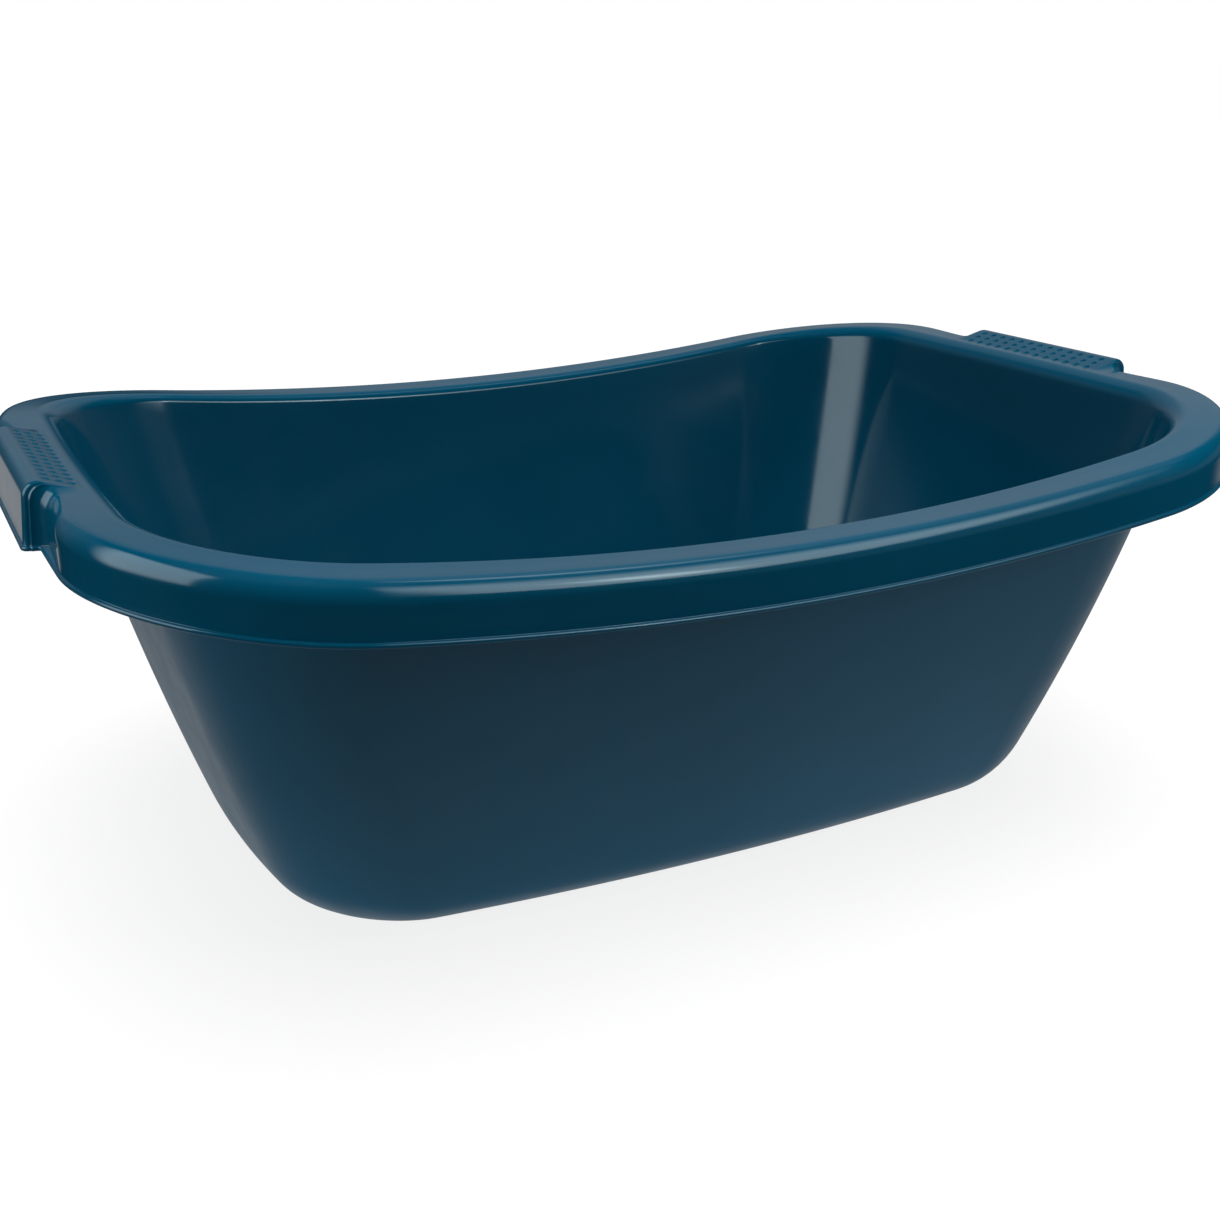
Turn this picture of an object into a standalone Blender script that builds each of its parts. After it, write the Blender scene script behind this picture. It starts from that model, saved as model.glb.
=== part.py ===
"""Plastic basin: a tapered tub, a rolled rim that dips on its long sides, and a hollow grip at each end.

Metres, +Z up. X runs along the basin and Y across it. The origin is the middle of the flat base.
"""

from math import atan2, cos, pi, sin, tan

import bmesh
import bpy

# Thickness of the plastic, gap that two pieces keep, and how far a cutter runs past what it cuts
WALL = 0.0022
SEAM = 0.0003
OVERRUN = 0.01

# Mouth: the inner face of the wall where it turns over into the rim
MOUTH_HALF_LENGTH = 0.2645
MOUTH_HALF_WIDTH = 0.177
MOUTH_CORNER_RADIUS = 0.071
MOUTH_END_BOW = 0.0049
MOUTH_SIDE_BOW = 0.0084

# Base: the outline where the wall would meet the floor if the edge between them were sharp
BASE_HALF_LENGTH = 0.2083
BASE_HALF_WIDTH = 0.1313
BASE_CORNER_RADIUS = 0.0507
BASE_END_BOW = 0.0155
BASE_SIDE_BOW = 0.0102
BASE_EDGE_RUN = 0.028
WALL_BULGE = 0.0055

# Rim: height at its ends, and its section from the mouth outwards
RIM_HEIGHT = 0.2095
RIM_DIP = 0.023
RIM_WIDTH = 0.0275
RIM_BEND_INSIDE = 0.0063
RIM_COLLAR = 0.004
RIM_CROWN = 0.0005
CROWN_INSIDE_RADIUS = 0.0038
CROWN_TURN = pi / 4
ROLL_INSIDE_RADIUS = 0.0078
SKIRT_DROP = 0.0218
LIP_OUT = 0.0012
RIM_PINCH = 0.0036
PINCH_REACH = 0.036

# Handles: the block's half length along Y, how far it stands out past the rim's skirt, and its rounds
HANDLE_HALF_LENGTH = 0.0582
HANDLE_OUT = 0.0068
HANDLE_LEAN = 0.0025
HANDLE_RISE = 0.0072
HANDLE_ROUND_INSIDE = 0.0043
HANDLE_COVE = 0.0078
HANDLE_EDGE_INSIDE = 0.0003
HANDLE_END_DRAFT = 0.0008
COVE_DEPTH_SHARE = 0.7

# Grip: shallow dimples in the handle's top, with ribs between them and plain margins round them
DIMPLE_LENGTH = 0.0042
DIMPLE_WIDTH = 0.0044
DIMPLE_DEPTH = 0.0007
DIMPLE_RIB_ALONG = 0.0041
DIMPLE_RIB_ACROSS = 0.0009
DIMPLE_MARGIN_ALONG = 0.006
DIMPLE_MARGIN_ACROSS = 0.0004
DIMPLE_SIDES = 8

# Steps of the faceted surfaces
END_STEPS = 6
CORNER_STEPS = 12
SIDE_STEPS = 8
WALL_STEPS = 6
EDGE_STEPS = 5
BAND_STEPS = 3
CROWN_STEPS = 3
ROLL_STEPS = 4
BEND_STEPS = 5
COVE_STEPS = 3

PLASTIC_COLOUR = (0.004, 0.066, 0.118, 1.0)
PLASTIC_ROUGHNESS = 0.22
CREASE_ANGLE = pi / 6

# Sizes that follow from the ones above
RIM_BEND = RIM_BEND_INSIDE + WALL
CROWN_RADIUS = CROWN_INSIDE_RADIUS + WALL
ROLL_RADIUS = ROLL_INSIDE_RADIUS + WALL
HANDLE_ROUND = HANDLE_ROUND_INSIDE + WALL
HANDLE_START = MOUTH_HALF_LENGTH + RIM_BEND
HANDLE_END = HANDLE_HALF_LENGTH + HANDLE_END_DRAFT + HANDLE_COVE
HANDLE_FOOT = MOUTH_HALF_LENGTH + RIM_WIDTH + HANDLE_OUT
NARROW_FOOT = MOUTH_HALF_LENGTH + RIM_WIDTH - RIM_PINCH
SKIRT_FOOT_HEIGHT = RIM_HEIGHT - SKIRT_DROP


def clear_scene():
    for obj in list(bpy.data.objects):
        bpy.data.objects.remove(obj, do_unlink=True)


def smooth_share(share):
    """0 below 0 and 1 above 1, with a smooth turn between."""
    share = min(max(share, 0.0), 1.0)
    return share * share * (3.0 - 2.0 * share)


def arc(centre, radius, first, last, steps):
    """Points (across, up) along an arc, both ends included, with its angles in radians."""
    points = []
    for i in range(steps + 1):
        angle = first + (last - first) * i / steps
        points.append((centre[0] + radius * cos(angle), centre[1] + radius * sin(angle)))
    return points


def spread(first, last, steps):
    """Points along a straight line, with the first and without the last."""
    return [tuple(a + (b - a) * i / steps for a, b in zip(first, last)) for i in range(steps)]


# Plan outline

def quarter_stations():
    """Stations of the first quarter: shares of the straight lengths in X and Y, and the angle of the face."""
    end = [(1.0, i / END_STEPS, 0.0) for i in range(END_STEPS)]
    corner = [(1.0, 1.0, pi / 2 * i / CORNER_STEPS) for i in range(CORNER_STEPS)]
    side = [(1.0 - i / SIDE_STEPS, 1.0, pi / 2) for i in range(SIDE_STEPS + 1)]
    return end + corner + side


def all_stations():
    """Stations once round the outline, anticlockwise, as (share X, share Y, normal X, normal Y)."""
    first = [(sx, sy, cos(angle), sin(angle)) for sx, sy, angle in quarter_stations()]
    second = [(-sx, sy, -nx, ny) for sx, sy, nx, ny in reversed(first[:-1])]
    half = first + second[:-1]
    return half + [(-sx, -sy, -nx, -ny) for sx, sy, nx, ny in half]


class Outline:
    """A rounded rectangle whose ends and sides bow outwards, with any offset from it."""

    def __init__(self, half_length, half_width, corner_radius, end_bow, side_bow):
        self.half_length = half_length
        self.half_width = half_width
        self.corner_radius = corner_radius
        self.end_bow_share = end_bow / half_length
        self.side_bow_share = side_bow / half_width

    def point(self, station, offset):
        """(x, y, along) at a station, with along from -1 to 1 between the two ends."""
        share_x, share_y, normal_x, normal_y = station
        radius = self.corner_radius + offset
        x = (self.half_length - self.corner_radius) * share_x + radius * normal_x
        y = (self.half_width - self.corner_radius) * share_y + radius * normal_y
        along = x / (self.half_length + offset)
        across = y / (self.half_width + offset)
        bowed_x = x * (1.0 - self.end_bow_share * across * across)
        bowed_y = y * (1.0 - self.side_bow_share * along * along)
        return bowed_x, bowed_y, along


def mouth_outline():
    return Outline(MOUTH_HALF_LENGTH, MOUTH_HALF_WIDTH, MOUTH_CORNER_RADIUS, MOUTH_END_BOW, MOUTH_SIDE_BOW)


def base_outline(inset):
    return Outline(
        BASE_HALF_LENGTH - inset,
        BASE_HALF_WIDTH - inset,
        BASE_CORNER_RADIUS - inset,
        BASE_END_BOW,
        BASE_SIDE_BOW,
    )


def rim_level(along):
    """Height of the mouth's edge: highest at the ends, lowest halfway along the sides."""
    return RIM_HEIGHT - RIM_DIP * (1.0 - along * along)


# Mesh helpers

def new_object(name, points, faces):
    mesh = bpy.data.meshes.new(name)
    mesh.from_pydata(points, [], faces)
    bm = bmesh.new()
    bm.from_mesh(mesh)
    bmesh.ops.recalc_face_normals(bm, faces=bm.faces)
    bm.to_mesh(mesh)
    bm.free()
    obj = bpy.data.objects.new(name, mesh)
    bpy.context.scene.collection.objects.link(obj)
    return obj


def loft(name, rings, closed):
    """A body through rings of equal length: closed joins the last to the first, or else both are filled."""
    count = len(rings[0])
    points = [point for ring in rings for point in ring]
    pairs = [(i, i + 1) for i in range(len(rings) - 1)]
    faces = []
    if closed:
        pairs.append((len(rings) - 1, 0))
    else:
        faces.append(tuple(range(count)))
        faces.append(tuple((len(rings) - 1) * count + i for i in range(count)))
    for low, high in pairs:
        for i in range(count):
            j = (i + 1) % count
            faces.append((low * count + i, low * count + j, high * count + j, high * count + i))
    return new_object(name, points, faces)


def box(name, low, high):
    """A plain box between two corners."""
    obj = new_object(name, [], [])
    bm = bmesh.new()
    bmesh.ops.create_cube(bm, size=1.0)
    for vert in bm.verts:
        vert.co = [low[k] if vert.co[k] < 0 else high[k] for k in range(3)]
    bm.to_mesh(obj.data)
    bm.free()
    return obj


def cut(obj, cutter):
    """Takes the cutter away from the object, and keeps the cutter out of the model."""
    modifier = obj.modifiers.new("cut_" + cutter.name, "BOOLEAN")
    modifier.operation = "DIFFERENCE"
    modifier.object = cutter
    cutter.hide_render = True
    cutter.display_type = "WIRE"


def finish(obj):
    """Smooth shading with creases, and a plastic material of the piece's own."""
    obj.data.shade_smooth()
    obj.data.set_sharp_from_angle(angle=CREASE_ANGLE)
    material = bpy.data.materials.new(obj.name + "_plastic")
    material.use_nodes = True
    shader = material.node_tree.nodes["Principled BSDF"]
    shader.inputs["Base Color"].default_value = PLASTIC_COLOUR
    shader.inputs["Roughness"].default_value = PLASTIC_ROUGHNESS
    shader.inputs["Metallic"].default_value = 0.0
    obj.data.materials.clear()
    obj.data.materials.append(material)


# Tub

def wall_point(station, inset, share):
    """A point of the wall, a share of the way up from the base's line, inset from its outer face."""
    base_x, base_y, _ = base_outline(inset).point(station, 0.0)
    top_x, top_y, along = mouth_outline().point(station, WALL - inset)
    run_x = top_x - base_x
    run_y = top_y - base_y
    run = (run_x * run_x + run_y * run_y) ** 0.5
    bulge = WALL_BULGE * 4.0 * share * (1.0 - share) / run
    height = inset + (rim_level(along) - inset) * share
    return base_x + run_x * (share + bulge), base_y + run_y * (share + bulge), height


def edge_ring(inset, turn_share, wall_share):
    """A ring of the rounded edge between the floor, at 0, and the wall, at 1."""
    ring = []
    for station in all_stations():
        wall = wall_point(station, inset, wall_share)
        corner_x, corner_y, _ = base_outline(inset).point(station, 0.0)
        floor_x, floor_y, _ = base_outline(BASE_EDGE_RUN).point(station, 0.0)
        to_floor = (1.0 - turn_share) ** 2
        to_corner = 2.0 * turn_share * (1.0 - turn_share)
        to_wall = turn_share ** 2
        x = to_floor * floor_x + to_corner * corner_x + to_wall * wall[0]
        y = to_floor * floor_y + to_corner * corner_y + to_wall * wall[1]
        ring.append((x, y, inset + (wall[2] - inset) * to_wall))
    return ring


def share_at_drop(station, inset, drop):
    """The share of the wall's height that lies this far under the rim's level."""
    level = rim_level(mouth_outline().point(station, WALL - inset)[2])
    return (level - drop - inset) / (level - inset)


def wall_lean(station):
    """The angle by which the wall leans outwards at its top."""
    base_x, base_y, _ = base_outline(WALL).point(station, 0.0)
    top_x, top_y, along = mouth_outline().point(station, 0.0)
    run = ((top_x - base_x) ** 2 + (top_y - base_y) ** 2) ** 0.5
    return atan2(run - 4.0 * WALL_BULGE, rim_level(along) - WALL)


def wall_ring(inset, share, wall_share):
    """A ring of the wall, share of the way from the rounded edge to the wall's top under the rim's collar."""
    ring = []
    for station in all_stations():
        top_share = share_at_drop(station, inset, RIM_BEND + RIM_COLLAR + SEAM)
        ring.append(wall_point(station, inset, wall_share + (top_share - wall_share) * share))
    return ring


def tub_face(inset):
    """Rings of one face of the tub, from the floor to the wall's top."""
    wall_share = BASE_EDGE_RUN / RIM_HEIGHT
    rings = [edge_ring(inset, i / EDGE_STEPS, wall_share) for i in range(EDGE_STEPS)]
    return rings + [wall_ring(inset, i / WALL_STEPS, wall_share) for i in range(WALL_STEPS + 1)]


def make_tub_shell():
    rings = tub_face(0.0) + list(reversed(tub_face(WALL)))
    tub = loft("tub_shell", rings, closed=False)
    finish(tub)


# Rim

def pinched(offset, station):
    """The offset drawn in near the handles, where the rim is narrower above its lip."""
    y = abs(mouth_outline().point(station, offset)[1])
    near = 1.0 - smooth_share((y - HANDLE_END) / PINCH_REACH)
    beyond_bend = max(offset - RIM_BEND, 0.0) / (RIM_WIDTH - RIM_BEND)
    return offset - RIM_PINCH * near * beyond_bend * abs(station[2])


def rim_point(station, offset, height):
    """A point of the rim: an offset outwards from the mouth, and a height over the rim's level."""
    x, y, along = mouth_outline().point(station, offset)
    return x, y, rim_level(along) + height


def lip_line(station, height):
    """A point of the lip's outer edge, which isn't drawn in and is a ledge where the rim is narrower."""
    return rim_point(station, RIM_WIDTH + LIP_OUT, height)


def roll_arc(depth):
    """The roll at a depth under its upper face, from its top outwards and down: a tight arc, then a wide one."""
    wider = ROLL_RADIUS - CROWN_RADIUS
    across = RIM_WIDTH - ROLL_RADIUS
    crown_centre = (across + wider * sin(CROWN_TURN), RIM_CROWN - CROWN_RADIUS)
    roll_centre = (across, crown_centre[1] - wider * cos(CROWN_TURN))
    joint = pi / 2 - CROWN_TURN
    crown = arc(crown_centre, CROWN_RADIUS - depth, pi / 2, joint, CROWN_STEPS)
    return crown[:-1] + arc(roll_centre, ROLL_RADIUS - depth, joint, 0.0, ROLL_STEPS)


def rim_section(station):
    """The rim's closed section, from the collar's foot over the rim to the lip and back under it."""
    lean = wall_lean(station)
    bend = (RIM_BEND * (1.0 / cos(lean) - tan(lean)), -RIM_BEND)
    foot = -SKIRT_DROP - WALL
    upper = arc(bend, RIM_BEND, pi + lean, pi / 2, BEND_STEPS) + roll_arc(0.0)
    under = list(reversed(roll_arc(WALL))) + arc(bend, RIM_BEND_INSIDE, pi / 2, pi + lean, BEND_STEPS)
    points = [
        rim_point(station, pinched(offset, station), height)
        for offset, height in upper + [(RIM_WIDTH, -SKIRT_DROP), (RIM_WIDTH - WALL, foot)] + under
    ]
    lip = [lip_line(station, -SKIRT_DROP), lip_line(station, foot)]
    points = points[:len(upper) + 1] + lip + points[len(upper) + 1:]
    outer, inner = [
        wall_point(station, inset, share_at_drop(station, inset, RIM_BEND + RIM_COLLAR))
        for inset in (0.0, WALL)
    ]
    return [inner] + points + [outer]


def make_rolled_rim():
    sections = [rim_section(station) for station in all_stations()]
    rim = loft("rolled_rim", list(zip(*sections)), closed=True)
    reach = HANDLE_FOOT + OVERRUN
    half = HANDLE_END + SEAM
    low = RIM_HEIGHT - SKIRT_DROP - WALL - OVERRUN
    high = RIM_HEIGHT + OVERRUN
    cut(rim, box("right_handle_gap", (HANDLE_START, -half, low), (reach, half, high)))
    cut(rim, box("left_handle_gap", (-reach, -half, low), (-HANDLE_START, half, high)))
    finish(rim)


# Handles

def end_station(y):
    """The station on the basin's straight end at this distance along Y."""
    mouth = mouth_outline()
    straight = (mouth.half_width - mouth.corner_radius) * (1.0 - mouth.side_bow_share)
    return 1.0, y / straight, 1.0, 0.0


def handle_rim_line(depth, y):
    """The rim's section beside the handle, at a depth under its upper face: (x, z) from the inner edge."""
    corners = roll_arc(depth) + [(RIM_WIDTH - depth, -SKIRT_DROP - depth)]
    station = end_station(y)
    points = [rim_point(station, pinched(offset, station), height) for offset, height in corners]
    turn = [(x, z) for x, _, z in points]
    return spread((HANDLE_START + SEAM, RIM_HEIGHT - depth), turn[0], BAND_STEPS) + turn


def handle_top():
    """The block's flat top: where it starts, (x, z), its slope, the outer face's lean, and its length."""
    start = HANDLE_START + SEAM
    slope = atan2(HANDLE_RISE, HANDLE_FOOT - HANDLE_LEAN - start)
    lean = atan2(HANDLE_LEAN, SKIRT_DROP + HANDLE_RISE)
    tangent = HANDLE_ROUND * tan((pi / 2 + slope - lean) / 2)
    length = (HANDLE_FOOT - HANDLE_LEAN - start) / cos(slope) - tangent
    return (start, RIM_HEIGHT), slope, lean, length


def handle_block_line(depth):
    """The block's section at a depth under its outer face: a rising top, a round and the outer face."""
    (x, z), slope, lean, length = handle_top()
    tangent_x = x + length * cos(slope)
    tangent_z = z + length * sin(slope)
    centre = (tangent_x + HANDLE_ROUND * sin(slope), tangent_z - HANDLE_ROUND * cos(slope))
    turn = arc(centre, HANDLE_ROUND - depth, pi / 2 + slope, lean, CROWN_STEPS + ROLL_STEPS)
    band = spread((x, z - depth), turn[0], BAND_STEPS)
    return band + turn + [(HANDLE_FOOT - depth, SKIRT_FOOT_HEIGHT - depth)]


def handle_steps(depth):
    """Steps from the end to the middle: (y, share from the rim's line to the block's, turn of the face)."""
    step = HANDLE_FOOT - NARROW_FOOT
    face = HANDLE_HALF_LENGTH - depth
    edge = HANDLE_EDGE_INSIDE + WALL - depth
    steps = []
    for i in range(COVE_STEPS + 1):
        angle = pi / 2 * i / COVE_STEPS
        y = face + HANDLE_END_DRAFT + (HANDLE_COVE + depth) * (1.0 - sin(angle))
        steps.append((y, (COVE_DEPTH_SHARE + depth / step) * (1.0 - cos(angle)), angle))
    for i in range(COVE_STEPS + 1):
        angle = pi / 2 * (1.0 - i / COVE_STEPS)
        steps.append((face - edge * (1.0 - sin(angle)), 1.0 - edge / step * (1.0 - cos(angle)), angle))
    return steps


def handle_row(side, depth, step):
    """One row of points on the face at this depth, on the side of the handle that is -1 or 1 along Y."""
    y, share, turn = step
    row = []
    for low, high in zip(handle_rim_line(depth, y), handle_block_line(depth)):
        x = low[0] + (high[0] - low[0]) * share
        z = low[1] + (high[1] - low[1]) * share
        row.append((x, side * y, z))
    return row


def handle_ring(side, outer, inner):
    """A closed ring round the handle's wall: the outer face, the lip at its foot and the inner face."""
    upper = handle_row(side, 0.0, outer)
    foot_x, foot_y, foot_z = upper[-1]
    rim_lip_x = lip_line(end_station(outer[0]), -SKIRT_DROP)[0]
    lip_x = max(foot_x + LIP_OUT * cos(outer[2]), rim_lip_x)
    lip_y = foot_y + side * LIP_OUT * sin(outer[2])
    lip = [(lip_x, lip_y, foot_z), (lip_x, lip_y, foot_z - WALL)]
    return upper + lip + list(reversed(handle_row(side, WALL, inner)))


def make_handle_block(name):
    """The handle at the +X end, as one wall lofted from the rim's section over the block and back."""
    pairs = list(zip(handle_steps(0.0), handle_steps(WALL)))
    rings = [handle_ring(-1.0, outer, inner) for outer, inner in pairs]
    rings += [handle_ring(1.0, outer, inner) for outer, inner in reversed(pairs)]
    return loft(name, rings, closed=False)


def copies(room, size, rib):
    """How many of these fit in the room, with ribs between them."""
    return int((room + rib) / (size + rib))


def dimple_cutter(name):
    """One prism for each dimple, square to the handle's top."""
    (x, z), slope, _, length = handle_top()
    room_along = 2.0 * (HANDLE_HALF_LENGTH - DIMPLE_MARGIN_ALONG)
    rows = copies(room_along, DIMPLE_LENGTH, DIMPLE_RIB_ALONG)
    columns = copies(length - DIMPLE_MARGIN_ACROSS, DIMPLE_WIDTH, DIMPLE_RIB_ACROSS)
    pitch_along = DIMPLE_LENGTH + DIMPLE_RIB_ALONG
    pitch_across = DIMPLE_WIDTH + DIMPLE_RIB_ACROSS
    points = []
    faces = []
    for row in range(rows):
        for column in range(columns):
            y = (row - (rows - 1) / 2) * pitch_along
            out = DIMPLE_MARGIN_ACROSS + DIMPLE_WIDTH / 2 + column * pitch_across
            first = len(points)
            for height in (-DIMPLE_DEPTH, OVERRUN):
                for i in range(DIMPLE_SIDES):
                    turn = 2.0 * pi * (i + 0.5) / DIMPLE_SIDES
                    across = out + DIMPLE_WIDTH / 2 * cos(turn)
                    px = x + across * cos(slope) - height * sin(slope)
                    pz = z + across * sin(slope) + height * cos(slope)
                    points.append((px, y + DIMPLE_LENGTH / 2 * sin(turn), pz))
            top = first + DIMPLE_SIDES
            faces.append(tuple(range(first, top)))
            faces.append(tuple(range(top, top + DIMPLE_SIDES)))
            for i in range(DIMPLE_SIDES):
                j = (i + 1) % DIMPLE_SIDES
                faces.append((first + i, first + j, top + j, top + i))
    return new_object(name, points, faces)


def make_handle(name, turn):
    """A handle and its dimples, turned about Z to its end of the basin."""
    handle = make_handle_block(name)
    handle.rotation_euler = (0.0, 0.0, turn)
    dimples = dimple_cutter(name + "_dimples")
    dimples.parent = handle
    cut(handle, dimples)
    finish(handle)


def main():
    clear_scene()
    make_tub_shell()
    make_rolled_rim()
    make_handle("right_handle", 0.0)
    make_handle("left_handle", pi)


main()
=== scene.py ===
"""Looks of the plastic basin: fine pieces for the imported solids, their plastic, a studio, a camera.

Metres, +Z up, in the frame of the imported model. X runs along the basin and Y across it.
"""
from math import atan2, cos, pi, radians, sin, tan

import bmesh
import bpy
from mathutils import Matrix, Vector


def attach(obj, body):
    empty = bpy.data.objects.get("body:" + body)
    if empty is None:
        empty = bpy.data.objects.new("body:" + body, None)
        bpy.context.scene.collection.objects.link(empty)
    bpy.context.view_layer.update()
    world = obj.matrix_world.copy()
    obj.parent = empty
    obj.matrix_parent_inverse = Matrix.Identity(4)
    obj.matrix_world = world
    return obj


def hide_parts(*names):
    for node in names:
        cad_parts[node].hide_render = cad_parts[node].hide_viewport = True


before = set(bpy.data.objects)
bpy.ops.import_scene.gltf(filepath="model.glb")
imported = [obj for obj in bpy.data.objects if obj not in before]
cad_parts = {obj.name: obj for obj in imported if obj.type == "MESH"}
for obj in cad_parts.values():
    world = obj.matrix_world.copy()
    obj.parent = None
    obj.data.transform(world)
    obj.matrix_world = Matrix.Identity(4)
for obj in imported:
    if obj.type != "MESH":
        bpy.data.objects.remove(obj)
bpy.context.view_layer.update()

# Driving sizes of the moulding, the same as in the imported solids

WALL = 0.0022

MOUTH_HALF_LENGTH = 0.2645
MOUTH_HALF_WIDTH = 0.177
MOUTH_CORNER_RADIUS = 0.071
MOUTH_END_BOW = 0.0049
MOUTH_SIDE_BOW = 0.0084

BASE_HALF_LENGTH = 0.2083
BASE_HALF_WIDTH = 0.1313
BASE_CORNER_RADIUS = 0.0507
BASE_END_BOW = 0.0155
BASE_SIDE_BOW = 0.0102
BASE_EDGE_RUN = 0.028
WALL_BULGE = 0.0055

RIM_HEIGHT = 0.2095
RIM_DIP = 0.023
RIM_WIDTH = 0.0275
RIM_BEND_INSIDE = 0.0063
RIM_COLLAR = 0.004
RIM_CROWN = 0.0005
CROWN_INSIDE_RADIUS = 0.0038
CROWN_TURN = pi / 4
ROLL_INSIDE_RADIUS = 0.0078
SKIRT_DROP = 0.0218
LIP_OUT = 0.0012
RIM_PINCH = 0.0036
PINCH_REACH = 0.036

HANDLE_HALF_LENGTH = 0.0582
HANDLE_OUT = 0.0068
HANDLE_LEAN = 0.0025
HANDLE_RISE = 0.0072
HANDLE_ROUND_INSIDE = 0.0043
HANDLE_COVE = 0.0078
HANDLE_EDGE_INSIDE = 0.0003
HANDLE_END_DRAFT = 0.0008
COVE_DEPTH_SHARE = 0.7

DIMPLE_LENGTH = 0.0042
DIMPLE_WIDTH = 0.0044
DIMPLE_DEPTH = 0.0007
DIMPLE_PITCH_ALONG = 0.0083
DIMPLE_PITCH_ACROSS = 0.0053
DIMPLE_FIRST = 0.0028
DIMPLE_ROWS = 13
DIMPLE_COLUMNS = 3

# Details finer than the solids. The rim's inner bend is tighter along the sides than at the ends.
# A dimple's sloping side takes up its radius divided by the steepness.
LIP_FILLET = 0.0003
LIP_ROUND = 0.00105
GRIP_FILLET = 0.0013
SIDE_BEND = 0.0056
END_BEND = 0.0102
DIMPLE_STEEPNESS = 2.2

# The mark of the mould's gate under the floor, from its middle outwards: (radius, height)
GATE_MARK = (
    (0.0005, 0.0001),
    (0.00135, 0.0001),
    (0.0015, 0.00016),
    (0.00195, 0.0004),
    (0.0071, 0.0004),
    (0.0075, 0.0),
)
UNDERSIDE_START = 0.00825
FLOOR_MIDDLE = 0.0015

RIM_BEND = RIM_BEND_INSIDE + WALL
CROWN_RADIUS = CROWN_INSIDE_RADIUS + WALL
ROLL_RADIUS = ROLL_INSIDE_RADIUS + WALL
HANDLE_ROUND = HANDLE_ROUND_INSIDE + WALL
HANDLE_START = MOUTH_HALF_LENGTH + RIM_BEND
HANDLE_END = HANDLE_HALF_LENGTH + HANDLE_END_DRAFT + HANDLE_COVE
HANDLE_FOOT = MOUTH_HALF_LENGTH + RIM_WIDTH + HANDLE_OUT
NARROW_FOOT = MOUTH_HALF_LENGTH + RIM_WIDTH - RIM_PINCH
SKIRT_FOOT_HEIGHT = RIM_HEIGHT - SKIRT_DROP

# Steps of the fine surfaces
GAP_STEPS = 6
END_STEPS = 8
CORNER_STEPS = 36
SIDE_STEPS = 30
WALL_STEPS = 36
EDGE_STEPS = 14
FLOOR_STEPS = 8
BEND_STEPS = 14
BAND_STEPS = 4
CROWN_STEPS = 9
ROLL_STEPS = 9
SKIRT_STEPS = 4
LIP_STEPS = 4
COVE_STEPS = 12
GRIP_BAND_STEPS = 40
GRIP_INNER_STEPS = 8
BAND_STEPS_TO_FILLET_STEP = 10
LEAST_FILLET_STEPS = 2
DIMPLE_STEPS = 18

# Edges that turn by more than this stay sharp
CREASE_ANGLE = radians(32)

# Places that are nearer than this are the same
SAME_PLACE = 0.00001


def smooth_share(share):
    """0 below 0 and 1 above 1, with a smooth turn between."""
    share = min(max(share, 0.0), 1.0)
    return share * share * (3.0 - 2.0 * share)


def arc(centre, radius, first, last, steps):
    """Points (across, up) along an arc, both ends included, with its angles in radians."""
    points = []
    for i in range(steps + 1):
        angle = first + (last - first) * i / steps
        points.append((centre[0] + radius * cos(angle), centre[1] + radius * sin(angle)))
    return points


def between(first, last, share):
    return tuple(a + (b - a) * share for a, b in zip(first, last))


def spread(first, last, steps):
    """Points along a straight line, with the first and without the last."""
    return [between(first, last, i / steps) for i in range(steps)]


# Plan outline

class Outline:
    """A rounded rectangle whose ends and sides bow outwards, with any offset from it."""

    def __init__(self, half_length, half_width, corner_radius, end_bow, side_bow):
        self.half_length = half_length
        self.half_width = half_width
        self.corner_radius = corner_radius
        self.end_bow_share = end_bow / half_length
        self.side_bow_share = side_bow / half_width

    def point(self, station, offset):
        """(x, y, along) at a station, with along from -1 to 1 between the two ends."""
        share_x, share_y, normal_x, normal_y = station
        radius = self.corner_radius + offset
        x = (self.half_length - self.corner_radius) * share_x + radius * normal_x
        y = (self.half_width - self.corner_radius) * share_y + radius * normal_y
        along = x / (self.half_length + offset)
        across = y / (self.half_width + offset)
        bowed_x = x * (1.0 - self.end_bow_share * across * across)
        bowed_y = y * (1.0 - self.side_bow_share * along * along)
        return bowed_x, bowed_y, along


MOUTH = Outline(
    MOUTH_HALF_LENGTH,
    MOUTH_HALF_WIDTH,
    MOUTH_CORNER_RADIUS,
    MOUTH_END_BOW,
    MOUTH_SIDE_BOW,
)


def base_outline(inset):
    """The line where the walls would meet the floor if the edge between them were sharp."""
    return Outline(
        BASE_HALF_LENGTH - inset,
        BASE_HALF_WIDTH - inset,
        BASE_CORNER_RADIUS - inset,
        BASE_END_BOW,
        BASE_SIDE_BOW,
    )


# Outer face, inner face and the flat of the floor
BASES = {inset: base_outline(inset) for inset in (0.0, WALL, BASE_EDGE_RUN)}


def straight_half():
    """Half the straight length of the mouth's ends, along Y."""
    return (MOUTH.half_width - MOUTH.corner_radius) * (1.0 - MOUTH.side_bow_share)


def end_station(y):
    """The station on the +X end's straight stretch at this distance along Y."""
    return 1.0, y / straight_half(), 1.0, 0.0


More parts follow.
